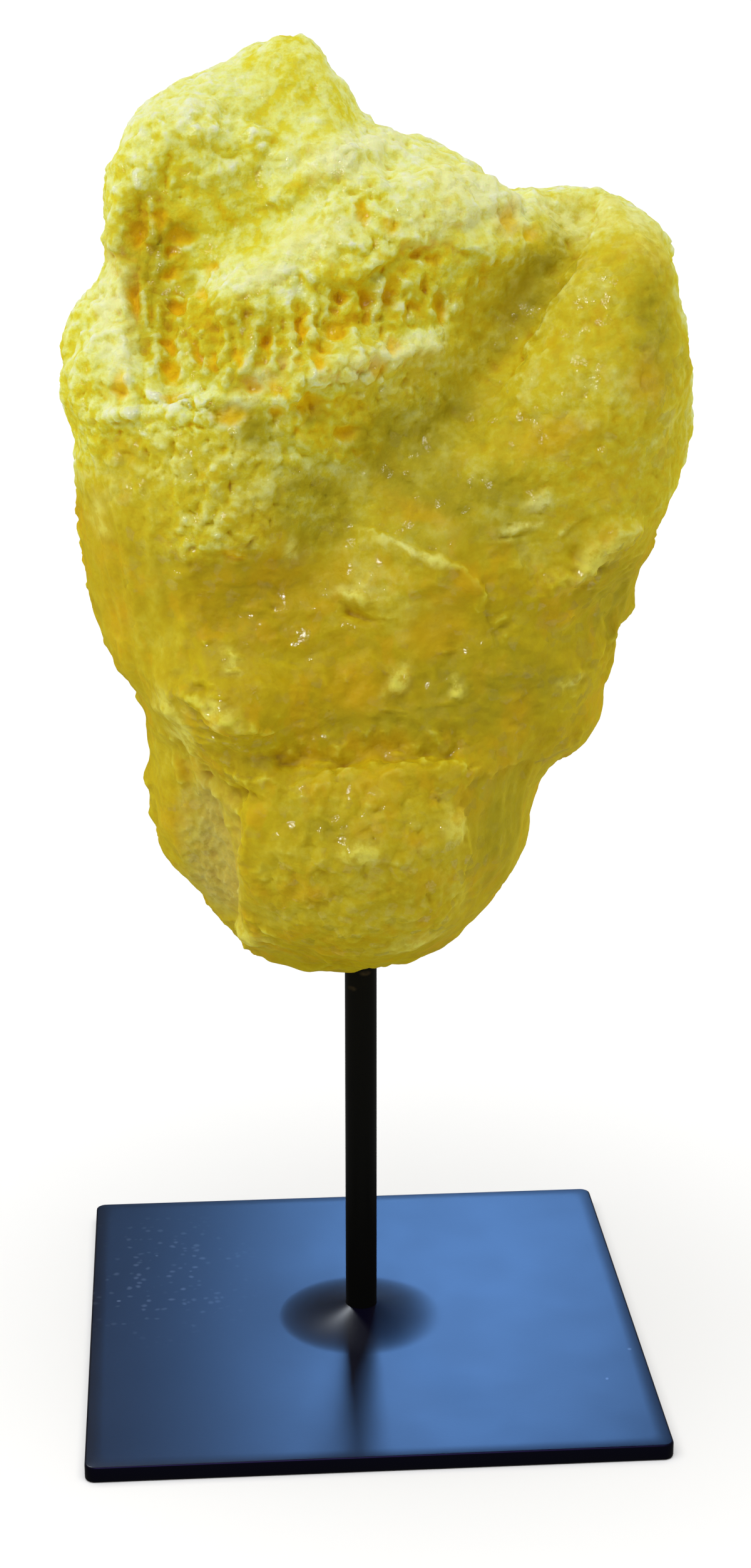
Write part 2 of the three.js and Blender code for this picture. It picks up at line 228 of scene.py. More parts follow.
def layers(p, octaves, salt=0):
    """Noise with finer and weaker layers added."""
    return sum(noise(p * 2.03 ** k, salt + k) * 0.5 ** k for k in range(octaves))


def cells(p, salt=0):
    """Distances to the two nearest random points, the nearest's number and the way from it."""
    base = np.floor(p).astype(np.int64)
    first = np.full(len(p), 9.0)
    second = np.full(len(p), 9.0)
    number = np.zeros(len(p))
    away = np.zeros((len(p), 3))
    for offset in np.ndindex(3, 3, 3):
        cell = base + (np.array(offset) - 1)
        jitter = np.stack([random_at(cell, salt * 5 + k) for k in range(3)], axis=1)
        way = p - (cell + 0.1 + 0.8 * jitter)
        distance = np.sqrt(np.sum(way * way, axis=1))
        nearer = distance < first
        second = np.where(nearer, first, np.minimum(second, distance))
        first = np.where(nearer, distance, first)
        number = np.where(nearer, jitter[:, 0], number)
        away = np.where(nearer[:, None], way, away)
    return first, second, number, away


# Textures of the specimen's zones: each gives a lift in millimetres for points in millimetres.

def grains(p, size, salt):
    """Rounded grains, from 0 between them to 1 on their tops."""
    first = cells(p / size, salt)[0]
    return np.sqrt(np.maximum(0, 1 - (first / 0.82) ** 2))


def ridged(p, octaves, salt):
    """Noise folded into sharp crests, from about 0 to 1."""
    return sum((1 - np.abs(noise(p * 2.1 ** k, salt + k))) ** 2 * 0.5 ** (k + 1) for k in range(octaves))


def bent(p, size, reach, salt):
    """The points moved about by noise, so that what follows is less regular."""
    return p + reach * np.stack([noise(p / size, salt + k) for k in range(3)], axis=1)


def crust(p):
    """Coarse crust: fat grains here and there over small ones."""
    q = bent(p, 5.0, 1.6, 10)
    fat = 1.7 * grains(q, 5.2, 11) * smoothstep(-0.5, 0.4, noise(p / 9, 14))
    return fat + 0.9 * grains(q, 2.4, 12) + 2.0 * ridged(p / 8, 2, 13) - 2.4


def fine_crust(p):
    """The smoother, powdery crust of the bowl."""
    return 0.35 * grains(p, 2.4, 15) + 1.0 * ridged(p / 10, 2, 16) + 0.4 * layers(p / 5, 2, 18) - 0.8


def small_pits(p):
    """Small upright hollows, close together: 1 in them and 0 between."""
    q = bent(p, 4.0, 1.4, 20)
    first, second, number, _ = cells(q / (3.2, 5.0, 4.8), 21)
    return smoothstep(0.08, 0.5, second - first) * smoothstep(0.45, 0.62, number)


def pits(p):
    """Crust broken up by small pits."""
    q = bent(p, 5.0, 1.4, 24)
    return 0.9 * grains(q, 2.4, 22) + 1.8 * ridged(p / 7, 2, 23) - small_pits(p) - 1.1


def columns(p):
    """Long upright ribs with gaps between them."""
    q = bent(p, 6.0, 1.0, 30)
    rib = ridged(q / (5.2, 8.0, 20.0), 2, 31)
    return 2.4 * (rib - 0.6) + 0.9 * grains(q, 2.4, 32) + 1.8 * ridged(p / 7, 2, 33) - 1.4


def blocks(p):
    """Small blocks of uneven height with grooves between them."""
    q = bent(p, 5.0, 1.2, 40)
    first, second, number, _ = cells(q / (5.0, 5.0, 3.6), 41)
    side = smoothstep(0.0, 0.25, second - first)
    block = 2.0 * (number - 0.4) * side - 0.8 * (1 - side)
    return block + 0.7 * grains(q, 1.9, 42) + 1.0 * ridged(p / 6, 2, 43) - 0.9


def knobs(p):
    """Knobbly crust that fades into the wax below it."""
    q = bent(p, 6.0, 2.0, 50)
    fat = 1.7 * grains(q, 4.4, 51) * smoothstep(-0.4, 0.4, noise(p / 8, 54))
    return fat + 0.9 * grains(q, 2.1, 52) + 2.0 * ridged(p / 8, 2, 53) - 2.2


def lumps(p):
    """Low, dull lumps."""
    q = bent(p, 8.0, 2.0, 60)
    return 1.2 * layers(p / 13, 2, 61) + 1.0 * ridged(q / 7, 2, 62) + 0.6 * grains(q, 3.2, 64) - 1.1


def veined_lumps(p):
    """Stronger lumps with sharp veins across them."""
    return 1.2 * lumps(p) + 0.7 * ridged(bent(p, 6.0, 2.0, 65) / 5, 2, 66) - 0.4


def facets(p):
    """Broken waxy faces: tilted plates that meet in low steps."""
    q = bent(p, 14.0, 4.0, 70)
    first, second, number, away = cells(q / (13, 13, 9), 71)
    side = smoothstep(0.0, 0.5, second - first)
    tilt = away[:, 0] * (number - 0.5) * 5.4 + away[:, 2] * (0.5 - (number * 7.3) % 1.0) * 5.4
    ripples = smoothstep(-0.3, 0.5, noise(p / 14, 77)) * layers(q / (5.5, 5.0, 2.0), 2, 75)
    return tilt * side + 1.1 * layers(q / 10, 2, 73) + 1.1 * ripples


def fibres(p):
    """Fine slanting fibres."""
    along = (p[:, 2] + 0.45 * p[:, 0]) / 8.0
    across = (p[:, 0] - 0.45 * p[:, 2]) / 2.2
    q = np.stack([across, p[:, 1] / 4.0, along], axis=1)
    return 1.6 * ridged(q, 2, 81) + 0.8 * layers(p / 5, 2, 83) - 1.0


def streaks(p):
    """Long, low upright streaks."""
    q = p / (4.6, 4.6, 30.0)
    return 0.9 * noise(q, 91) + 0.35 * noise(q * (2.3, 2.3, 3.0), 92) + 0.6 * layers(p / 12, 2, 93)


# Zones of the front: a texture, and its ovals as x, z, half-width, half-height and turn in degrees
ZONES = {
    "crust": (crust, [(-46, 306, 16, 12, 25), (-20, 297, 16, 6, 5), (4, 300, 20, 6, 0),
                      (24, 295, 18, 6, -20), (-63, 256, 9, 24, 0), (50, 289, 20, 6, 0),
                      (8, 290, 26, 4, 8)]),
    "bowl": (fine_crust, [(-27, 287, 15, 9, 12), (-14, 315, 14, 13, 0), (22, 280, 14, 5, 15)]),
    "pits": (pits, [(6, 272, 20, 9, 18), (-10, 263, 15, 8, 12), (-8, 243, 11, 7, -30),
                    (-22, 254, 8, 4, 0)]),
    "columns": (columns, [(-31, 262, 12, 9, 0), (-47, 274, 8, 18, 6)]),
    "blocks": (blocks, [(-46, 247, 13, 4.0, 0), (-6, 254, 13, 4, 5)]),
    "knobs": (knobs, [(-38, 229, 20, 14, -10), (4, 250, 16, 7, 30)]),
    "lumps": (lumps, [(57, 254, 22, 38, 6), (34, 262, 14, 22, -35), (20, 234, 26, 12, 20)]),
    "nose": (veined_lumps, [(-3, 162, 22, 6, 0), (-2, 140, 24, 20, 0)]),
    "fibres": (fibres, [(-37, 140, 7, 19, 6)]),
    "streaks": (streaks, [(-56, 203, 11, 32, 0), (-46, 150, 6, 26, 0), (36, 148, 12, 24, 15)]),
}
# How crusted and how waxy each zone looks. The rest of the surface is upper or, lower down, waxy.
CRUSTED = {"upper": 1, "crust": 1, "bowl": 0.55, "columns": 0.8, "blocks": 0.85, "pits": 0.65,
           "knobs": 0.35}
WAXED = {"waxy": 1, "streaks": 0.9, "nose": 0.8, "lumps": 0.5, "knobs": 0.4, "fibres": 0.4}
# Tints on the front, as ovals: amber in wax with a painted glow in clefts, pale crests and waxy facets
# with painted highlights, and painted olive shade in the valleys
# amber: the wax's own amber patches, and a painted glow along clefts
AMBER_AND_GLOW = [  # x, z, half-width, half-height, turn in degrees
    (0, 165, 14, 2.4, 0), (-6, 184, 14, 7, 0), (14, 197, 8, 6, 20), (1, 172, 9, 2.2, 0),
    (-16, 170.5, 8, 1.8, 0), (17, 206, 5, 4, 0), (-46, 147, 3.4, 7, 0), (-59, 205, 3.5, 20, 4),
    (12, 142, 4, 3, 30), (8, 152, 3, 3, 0), (-2, 155, 5, 3, 0), (46, 198, 3, 2, 0), (28, 165, 6, 4, 0),
    (-20, 210, 18, 6, 0), (62, 252, 5, 7, 0), (-14, 138, 4, 3, 0), (30, 285, 3, 4, 0),
    (-35, 205, 8, 5, 0), (10, 223, 8, 2.6, -8), (40, 240, 12, 4, 10), (-24, 213, 6, 14, 20),
    (33, 176, 4, 8, -10),
]
# pale: painted highlights on crests and waxy facets, partly the crust's own paleness
PALE_AND_HIGHLIGHT = [  # x, z, half-width, half-height, turn in degrees
    (-4.5, 205.6, 5.6, 1.5, -4), (5.4, 186.6, 1.9, 4.0, -42), (19, 183.8, 2.2, 2.0, 0),
    (-4, 149.5, 5, 3.2, -8), (-47.6, 180, 1.8, 5.0, 25), (-31.4, 193, 3, 2.6, 0),
    (-35, 182.4, 4.2, 1.2, -22), (10, 215.4, 9, 0.8, -20), (51, 212, 9, 2.6, 40), (10, 122, 7, 2.4, 8),
    (-27, 119, 4, 4, 0), (18, 154, 3.4, 4.4, 0), (38, 226, 3.4, 1.6, 35), (34, 219.6, 4.6, 1.2, 8),
    (46, 182, 4, 2, 0), (26, 288, 18, 5.5, 6), (48, 289, 14, 5, -5), (62, 283, 7, 5, -40),
    (-12, 283, 9, 3, 20), (-20, 276, 10, 2.4, 20), (-3, 256, 10, 3, 5), (-25, 253, 7, 2.4, 35),
    (-43, 172, 3, 9, 10), (6, 259, 8, 2.4, 5), (22, 294, 10, 6, -25), (-56, 266, 4, 14, 0),
    (-3, 300, 14, 5, 5), (-61, 222, 2.2, 4.4, 0), (-18, 215, 1.6, 3, 0),
]
# painted shade: olive darkening laid over the valleys and other places made to look darker
SHADE = [  # x, z, half-width, half-height, turn in degrees
    (-24, 243, 8, 4, -20), (12, 226, 12, 9, 0), (38, 272, 19, 4.5, 55), (12, 241, 20, 8, 15),
    (20, 226, 20, 9, -10), (-12, 226, 11, 12, 0), (-46, 276, 5, 13, 0), (-43, 284, 4, 3, 0),
    (-31, 247, 5, 3, 0), (-14, 246.5, 4, 3, 0), (4, 242, 14, 5, 20), (8, 232, 14, 8, 10),
    (26, 184, 20, 12, 0), (-25, 208, 12, 7, 0), (8, 178, 24, 6, 0), (58, 200, 9, 12, 20),
    (-12, 156, 7, 4, 0), (64, 262, 5, 14, 0), (30, 150, 8, 18, 0),
]


def oval_distance(x, z, oval):
    """Distance from an oval's centre, with 1 at its edge."""
    centre_x, centre_z, half_width, half_height, turn = oval
    c, s = math.cos(math.radians(turn)), math.sin(math.radians(turn))
    along = ((x - centre_x) * c + (z - centre_z) * s) / half_width
    across = (-(x - centre_x) * s + (z - centre_z) * c) / half_height
    return np.hypot(along, across)


def patch(x, z, ovals):
    """1 inside any of the ovals and 0 outside, with a soft edge."""
    return np.max([1 - smoothstep(0.75, 1.3, oval_distance(x, z, oval)) for oval in ovals], axis=0)


def spot(x, z, oval):
    """A soft round hump of height 1 over an oval."""
    return np.exp(-oval_distance(x, z, oval) ** 3)


def line_distance(points, x, z):
    """Distance to a line of points, and how far to its left each place is (to its right below 0)."""
    nearest = np.full(len(x), 1e9)
    left = np.zeros(len(x))
    for (ax, az), (bx, bz) in zip(points, points[1:]):
        dx, dz = bx - ax, bz - az
        t = np.clip(((x - ax) * dx + (z - az) * dz) / (dx * dx + dz * dz), 0, 1)
        distance = np.hypot(x - ax - t * dx, z - az - t * dz)
        nearer = distance < nearest
        nearest = np.where(nearer, distance, nearest)
        left = np.where(nearer, (dx * (z - az) - dz * (x - ax)) / math.hypot(dx, dz), left)
    return nearest, left


def line_lift(x, z, line):
    """A crest along a line, or a cleft where its lift is below 0."""
    points, left_reach, right_reach, lift = line
    distance, left = line_distance(points, x, z)
    reach = right_reach + (left_reach - right_reach) * smoothstep(-0.6, 0.6, left)
    return lift * np.exp(-(distance / reach) ** 2)


def step_lift(x, z, step):
    """A step along a line, high on one side and low on the other."""
    points, raised_side, reach, lift = step
    distance, left = line_distance(points, x, z)
    return lift * (smoothstep(-1.8, 1.8, left * raised_side) - 0.35) * np.exp(-(distance / reach) ** 2)


def drip_lift(x, z, drip):
    """A hanging rib, a little fatter at its tip."""
    top_x, top_z, tip_x, tip_z, half_width, lift = drip
    distance = line_distance([(top_x, top_z), (tip_x, tip_z)], x, z)[0] / half_width
    swelling = 0.75 + 0.25 * np.exp(-((z - tip_z) / 4) ** 2)
    return 0.7 * lift * np.exp(-(0.85 * distance) ** 3) * swelling


def features(x, z):
    """The lift of all the placed features, and how deep in a pit each point is, from 0 to 1."""
    lift = sum(line_lift(x, z, line) for line in LINES)
    lift += sum(step_lift(x, z, step) for step in STEPS)
    lift += sum(drip_lift(x, z, drip) for drip in DRIPS)
    deep = np.zeros(len(x))
    for *oval, depth in PITS:
        pit = spot(x, z, (*oval, 0))
        lift -= 0.5 * depth * pit
        deep = np.maximum(deep, pit * min(1, depth / 3.0))
    for *oval, height in BUMPS:
        lift += 0.7 * height * spot(x, z, oval)
    return lift, deep


def zone_shares(p, x, z, front):
    """How much of each zone's texture there is at each point. The shares add up to 1."""
    shares = {name: front * patch(x, z, ovals) for name, (_, ovals) in ZONES.items()}
    total = sum(shares.values())
    for name in shares:
        shares[name] /= np.maximum(1, total)
    rest = np.clip(1 - total, 0, 1)
    height = p[:, 2] + 26 * layers(p / 38, 2, 103) + 8 * layers(p / 9, 2, 110)
    shares["upper"] = rest * smoothstep(206, 246, height)
    shares["waxy"] = rest - shares["upper"]
    return shares


def sculpt(p, n):
    """The lift of each point of the specimen, and the shares of its zones, tints and pits there."""
    front = smoothstep(0.05, 0.45, -n[:, 1])
    warp = 1.3 * np.stack([layers(p / 4, 3, 101), layers(p / 4, 3, 102)], axis=1)
    x, z = p[:, 0] + warp[:, 0], p[:, 2] + warp[:, 1]
    lift, deep = features(x, z)
    lift *= front
    shares = zone_shares(p, x, z, front)
    textures = {name: zone[0] for name, zone in ZONES.items()}
    textures.update(upper=crust, waxy=facets)
    for name, share in shares.items():
        inside = np.nonzero(share > 0.01)[0]
        lift[inside] += share[inside] * textures[name](p[inside])
    # deep: where an orange glow is painted into the pits
    shares["deep"] = front * np.maximum(0.85 * deep, 0.4 * shares["pits"] * small_pits(p))
    x, z = x + 2 * layers(p / 7, 3, 104), z + 2 * layers(p / 7, 3, 107)
    # tints: amber with a painted glow, pale with painted highlights, and painted shade
    for name, ovals in (("amber", AMBER_AND_GLOW), ("pale", PALE_AND_HIGHLIGHT), ("shade", SHADE)):
        shares[name] = front * np.max([spot(x, z, oval) for oval in ovals], axis=0)
    return lift, shares


# Mesh helpers

def read(items, key, width):
    """A property of all the items, as rows of the given width."""
    out = np.empty(len(items) * width, np.float32)
    items.foreach_get(key, out)
    return out.reshape(-1, width).astype(float)


def apply_modifiers(obj):
    """Gives the object the mesh that its modifiers make, and takes them away."""
    depsgraph = bpy.context.evaluated_depsgraph_get()
    mesh = bpy.data.meshes.new_from_object(obj.evaluated_get(depsgraph))
    obj.modifiers.clear()
    obj.data = mesh


def neighbours_mean(values, edges, count):
    """The mean of each vertex's neighbours."""
    a, b = edges[:, 0], edges[:, 1]
    ends = np.concatenate([a, b])
    others = np.concatenate([b, a])
    sums = [np.bincount(ends, values[others, k], len(values)) for k in range(values.shape[1])]
    return np.stack(sums, axis=1) / count[:, None]


def smoothed(values, edges, times):
    """Moves each vertex's values towards its neighbours' mean, again and again."""
    count = np.maximum(1, np.bincount(edges.ravel(), minlength=len(values)))
    for _ in range(times):
        values = values + 0.6 * (neighbours_mean(values, edges, count) - values)
    return values


def edge_array(mesh):
    out = np.empty(len(mesh.edges) * 2, np.int32)
    mesh.edges.foreach_get("vertices", out)
    return out.reshape(-1, 2)


def write_points(mesh, p):
    mesh.vertices.foreach_set("co", (p * MM).astype(np.float32).ravel())
    mesh.update()


def add_object(name, data):
    obj = bpy.data.objects.new(name, data)
    bpy.context.scene.collection.objects.link(obj)
    return obj


def set_share(mesh, name, values):
    attribute = mesh.attributes.new(name, "FLOAT", "POINT")
    attribute.data.foreach_set("value", values.astype(np.float32))


def fine_copy(node):
    """The node's solid, softened and remeshed finely and evenly."""
    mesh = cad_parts[node].data.copy()
    bm = bmesh.new()
    bm.from_mesh(mesh)
    bmesh.ops.remove_doubles(bm, verts=bm.verts, dist=0.02 * MM)
    bm.to_mesh(mesh)
    bm.free()
    mesh.materials.clear()
    piece = add_object("sulfur_rock", mesh)
    piece.modifiers.new("soften", "SUBSURF").levels = 1
    remesh = piece.modifiers.new("remesh", "REMESH")
    remesh.mode = "VOXEL"
    remesh.voxel_size = VOXEL
    apply_modifiers(piece)
    return piece


def make_specimen():
    piece = fine_copy("sulfur_specimen")
    mesh = piece.data
    edges = edge_array(mesh)
    p = read(mesh.vertices, "co", 3) / MM
    from_axis = np.hypot(p[:, 0], p[:, 1])
    bore = 1 - smoothstep(HOLE_RADIUS_MM + 0.5, HOLE_RADIUS_MM + 4, from_axis)
    bore *= 1 - smoothstep(HOLE_TOP_MM, HOLE_TOP_MM + 4, p[:, 2])
    p += (1 - bore[:, None]) * (smoothed(p, edges, SMOOTHINGS) - p)
    write_points(mesh, p)
    n = smoothed(read(mesh.vertex_normals, "vector", 3), edges, NORMAL_SMOOTHINGS)
    n /= np.linalg.norm(n, axis=1)[:, None]
    lift, shares = sculpt(p, n)
    p = p + n * (lift * (1 - bore))[:, None]
    write_points(mesh, p)
    mark_surface(mesh, p, n, edges, shares)
    thin_out(piece)
    piece.data.shade_smooth()
    return piece


def mark_surface(mesh, p, n, edges, shares):
    """Writes where the surface is hollow, crusted, waxy and so on, for the material."""
    # hollow and peak: the colour paints shade into hollows and highlights onto peaks
    near = np.sum((smoothed(p, edges, NEAR_SMOOTHINGS) - p) * n, axis=1)
    far = np.sum((smoothed(p, edges, FAR_SMOOTHINGS) - p) * n, axis=1)
    set_share(mesh, "hollow", smoothstep(0.1, 0.8, near) * 0.5 + smoothstep(0.5, 2.6, far) * 0.5)
    set_share(mesh, "peak", smoothstep(0.05, 0.6, -near))
    set_share(mesh, "crusted", sum(share * shares[name] for name, share in CRUSTED.items()))
    set_share(mesh, "waxed", sum(share * shares[name] for name, share in WAXED.items()))
    set_share(mesh, "fibrous", shares["fibres"])
    # the pits and columns zones, where the colour paints shade darker and olive
    set_share(mesh, "ribbed", shares["pits"] + 2 * shares["columns"])
    for name in ("deep", "amber", "pale", "shade"):
        set_share(mesh, name, shares[name])
    # up-facing crust is painted lighter, as light from above makes it
    up = read(mesh.vertex_normals, "vector", 3)[:, 2]
    set_share(mesh, "upward", smoothstep(-0.3, 0.8, up))
    set_share(mesh, "forward", -n[:, 1])


def thin_out(piece):
    """Keeps the front's fine surface and spends fewer triangles on the back."""
    mesh = piece.data
    n = read(mesh.vertex_normals, "vector", 3)
    back = smoothstep(-0.1, 0.35, n[:, 1])
    group = piece.vertex_groups.new(name="back")
    for step in range(BACK_STEPS + 1):
        chosen = np.nonzero(np.round(back * BACK_STEPS) == step)[0]
        group.add(chosen.tolist(), 0.15 + 0.85 * step / BACK_STEPS, "REPLACE")
    thin = piece.modifiers.new("thin", "DECIMATE")
    thin.use_collapse_triangulate = True
    thin.ratio = MOST_TRIANGLES / (2 * len(mesh.polygons))
    thin.vertex_group = group.name
    thin.vertex_group_factor = 1.0
    apply_modifiers(piece)
    piece.vertex_groups.clear()


# Stand

def plate_reach(angle, inset):
    """How far the plate's rounded square, pulled in by inset, reaches from its centre at an angle."""
    half = PLATE_HALF - inset
    corner = PLATE_CORNER - inset * 0.5
    c, s = abs(math.cos(angle)), abs(math.sin(angle))
    straight = half / max(c, s)
    inner = half - corner
    if min(c, s) * straight <= inner:
        return straight
    b = inner * (c + s)
    return b + math.sqrt(b * b - 2 * inner * inner + corner * corner)


def angles_round_plate():
    """Directions from the plate's middle, closer together at its four rounded corners."""
    turns = np.linspace(-CORNER_SPAN, CORNER_SPAN, 9)
    corner = [45 + 90 * k + turn for k in range(4) for turn in turns]
    margin = CORNER_SPAN + 0.1
    side = [a for a in np.arange(0, 360, 2.25) if margin < (a + 45) % 90 < 90 - margin]
    return [math.radians(a) for a in sorted(corner + side)]


def cone_height(radius):
    """The cone flows out of the plate in a hollow curve and rises to the rod."""
    t = min(1.0, max(0.0, (CONE_FOOT - radius) / (CONE_FOOT - ROD_RADIUS)))
    return (PLATE_HIGH.z - PLATE_TOP) * t ** 1.6


def turned(name, rings, angles):
    """A closed piece through rings, each a list of reach and height with one pair for each angle."""
    bm = bmesh.new()
    rows = []
    for ring in rings:
        rows.append([bm.verts.new((reach * math.cos(a), reach * math.sin(a), height))
                     for (reach, height), a in zip(ring, angles)])
    for row, following in zip(rows, rows[1:]):
        for k in range(len(angles)):
            j = (k + 1) % len(angles)
            bm.faces.new((row[k], following[k], following[j], row[j]))
    bm.faces.new(rows[0])
    bm.faces.new(list(reversed(rows[-1])))
    bmesh.ops.recalc_face_normals(bm, faces=bm.faces)
    mesh = bpy.data.meshes.new(name)
    bm.to_mesh(mesh)
    bm.free()
    mesh.shade_smooth()
    mesh.set_sharp_from_angle(angle=SHARP_EDGE)
    return add_object(name, mesh)


def make_plate():
    """Rings from the socket out over the cone and the top, round the edge and in under the plate."""
    angles = angles_round_plate()
    socket = ROD_RADIUS + SOCKET_GAP
    rings = [[(socket, PLATE_TOP)] * len(angles)]
    for i in range(CONE_RINGS + 1):
        radius = socket + i / CONE_RINGS * (CONE_FOOT - socket)
        rings.append([(radius, PLATE_TOP + cone_height(radius))] * len(angles))
    for share in (0.25, 0.5, 0.75, 0.93):
        rings.append([(CONE_FOOT + share * (plate_reach(a, PLATE_BEVEL) - CONE_FOOT), PLATE_TOP)
                      for a in angles])
    bend = [math.radians(90 * k / (BEVEL_RINGS - 1)) for k in range(BEVEL_RINGS)]
    upper = [(1 - math.sin(turn), PLATE_TOP - PLATE_BEVEL * (1 - math.cos(turn))) for turn in bend]
    lower = [(1 - math.cos(turn), PLATE_BEVEL * (1 - math.sin(turn))) for turn in bend]
    for inset, height in upper + lower:
        rings.append([(plate_reach(a, PLATE_BEVEL * inset), height) for a in angles])
    return turned("stand_plate", rings, angles)


def make_rod():
    """A round bar with its two ends chamfered."""
    angles = [2 * math.pi * k / ROD_STEPS for k in range(ROD_STEPS)]
    low, high = ROD_LOW.z, ROD_HIGH.z
    profile = [(ROD_RADIUS - ROD_CHAMFER, low), (ROD_RADIUS, low + ROD_CHAMFER),
               (ROD_RADIUS, high - ROD_CHAMFER), (ROD_RADIUS - ROD_CHAMFER, high)]
    return turned("stand_rod", [[point] * ROD_STEPS for point in profile], angles)


# Materials

class Nodes:
    """A short way to write a node material."""

    def __init__(self, name):
        self.material = bpy.data.materials.new(name)
        self.material.use_nodes = True
        self.tree = self.material.node_tree
        self.shader = self.tree.nodes["Principled BSDF"]

    def add(self, kind, inputs=None, **settings):
        node = self.tree.nodes.new(kind)
        for key, value in settings.items():
            setattr(node, key, value)
        for key, value in (inputs or {}).items():
            self.set(node, key, value)
        return node

    def set(self, node, key, value):
        socket = node.inputs[key]
        if isinstance(value, bpy.types.NodeSocket):
            self.tree.links.new(value, socket)
        else:
            socket.default_value = value

    def fix(self, constants):
        """Sets the shader's own constants."""
        for key, value in constants.items():
            self.shader.inputs[key].default_value = value

    def attribute(self, name):
        return self.add("ShaderNodeAttribute", attribute_name=name).outputs["Fac"]

    def noise(self, scale, detail=3.0, stretch=(1, 1, 1), roughness=0.55):
        place = self.add("ShaderNodeTexCoord").outputs["Object"]
        moved = self.add("ShaderNodeMapping", {"Vector": place, "Scale": stretch}).outputs[0]
        inputs = {"Vector": moved, "Scale": scale, "Detail": detail, "Roughness": roughness}
        return self.add("ShaderNodeTexNoise", inputs).outputs[0]

    def ramp(self, value, low, high, to_low=0.0, to_high=1.0):
        inputs = {"Value": value, "From Min": low, "From Max": high, "To Min": to_low, "To Max": to_high}
        return self.add("ShaderNodeMapRange", inputs, interpolation_type="SMOOTHSTEP").outputs[0]

    def math(self, operation, a, b):
        node = self.add("ShaderNodeMath", operation=operation)
        self.set(node, 0, a)
        self.set(node, 1, b)
        return node.outputs[0]

    def product(self, a, b):
        return self.math("MULTIPLY", a, b)

    def sum(self, *terms):
        """Adds each value times its weight."""
        total = 0.0
        for value, weight in terms:
            total = self.math("ADD", total, self.product(value, weight))
        return total

    def vector(self, operation, a, b):
        return self.add("ShaderNodeVectorMath", {0: a, 1: b}, operation=operation).outputs[0]

    def pushed(self, vector, colour, reach):
        """The vector, moved by a random colour's difference from grey."""
        push = self.vector("MULTIPLY", self.vector("SUBTRACT", colour, (0.5, 0.5, 0.5)), (reach,) * 3)
        return self.vector("ADD", vector, push)

    def tones(self, value, stops):
        """A colour ramp over the value."""
        node = self.add("ShaderNodeValToRGB", {"Fac": value})
        stretch = node.color_ramp.elements
        while len(stretch) < len(stops):
            stretch.new(0.5)
        for element, (place, colour) in zip(stretch, stops):
            element.position = place
            element.color = (*colour, 1)
        return node.outputs[0]

    def bent_place(self, scale, reach):
        """Object coordinates moved about by noise."""
        place = self.add("ShaderNodeTexCoord").outputs["Object"]
        colour = self.add("ShaderNodeTexNoise", {"Vector": place, "Scale": scale}).outputs["Color"]
        return self.pushed(place, colour, 2 * reach)

    def near(self, centre, reach):
        """1 at a place in millimetres, fading to 0 at its reach along each axis."""
        place = self.add("ShaderNodeTexCoord").outputs["Object"]
        centre, reach = [c * MM for c in centre], [r * MM for r in reach]
        way = self.vector("DIVIDE", self.vector("SUBTRACT", place, centre), reach)
        far = self.add("ShaderNodeVectorMath", {0: way}, operation="LENGTH").outputs["Value"]
        return self.ramp(far, 0.3, 1.0, 1.0, 0.0)

    def bump(self, height, distance, strength, normal=None):
        node = self.add("ShaderNodeBump", {"Height": height, "Distance": distance, "Strength": strength})
        if normal:
            self.set(node, "Normal", normal)
        return node.outputs[0]

    def tilted(self, normal, colour, reach):
        """The normal, tipped by each cell's own random colour."""
        tipped = self.pushed(normal, colour, reach)
        return self.add("ShaderNodeVectorMath", {0: tipped}, operation="NORMALIZE").outputs[0]

    def mix(self, share, a, b):
        node = self.add("ShaderNodeMix", data_type="RGBA")
        self.set(node, 0, share)
        self.set(node, 6, a)
        self.set(node, 7, b)
        return node.outputs[2]


# Colours by tone, from the deepest hollows to the tops of the grains; the tone paints shade and an orange
# glow into hollows and highlights onto tops
CRUST_TONES = [(0.0, (0.80, 0.44, 0.003)), (0.22, (0.83, 0.62, 0.006)), (0.45, (0.82, 0.745, 0.04)),
               (0.7, (0.90, 0.93, 0.28)), (1.0, (0.94, 1.0, 0.66))]
WAX_TONES = [(0.0, (0.44, 0.25, 0.001)), (0.3, (0.56, 0.395, 0.003)), (0.6, (0.64, 0.50, 0.007)),
             (1.0, (0.80, 0.76, 0.09))]
# an orange glow painted into the pits
PAINTED_PIT_GLOW = (0.96, 0.62, 0.003, 1)
# the olive of painted shade
PAINTED_SHADE_OLIVE = (0.43, 0.35, 0.008, 1)
BUFF = (0.54, 0.41, 0.09, 1)
# pale for crests: partly the crust's own, partly painted highlight
PALE_CRUST_AND_HIGHLIGHT = (0.97, 0.99, 0.48, 1)
# a painted highlight on waxy facets
PAINTED_WAX_HIGHLIGHT = (0.88, 0.82, 0.13, 1)
# the wax's own amber, also used for a painted glow in clefts
AMBER_WAX_AND_GLOW = (0.72, 0.44, 0.004, 1)
# black, with a faint blue tint painted in for the blue window's reflection
PLATE_PAINT = (0.005, 0.0055, 0.007, 1)
ROD_PAINT = (0.022, 0.022, 0.018, 1)
DUST = (0.11, 0.12, 0.10, 1)
BARE_STEEL = (0.13, 0.10, 0.055, 1)


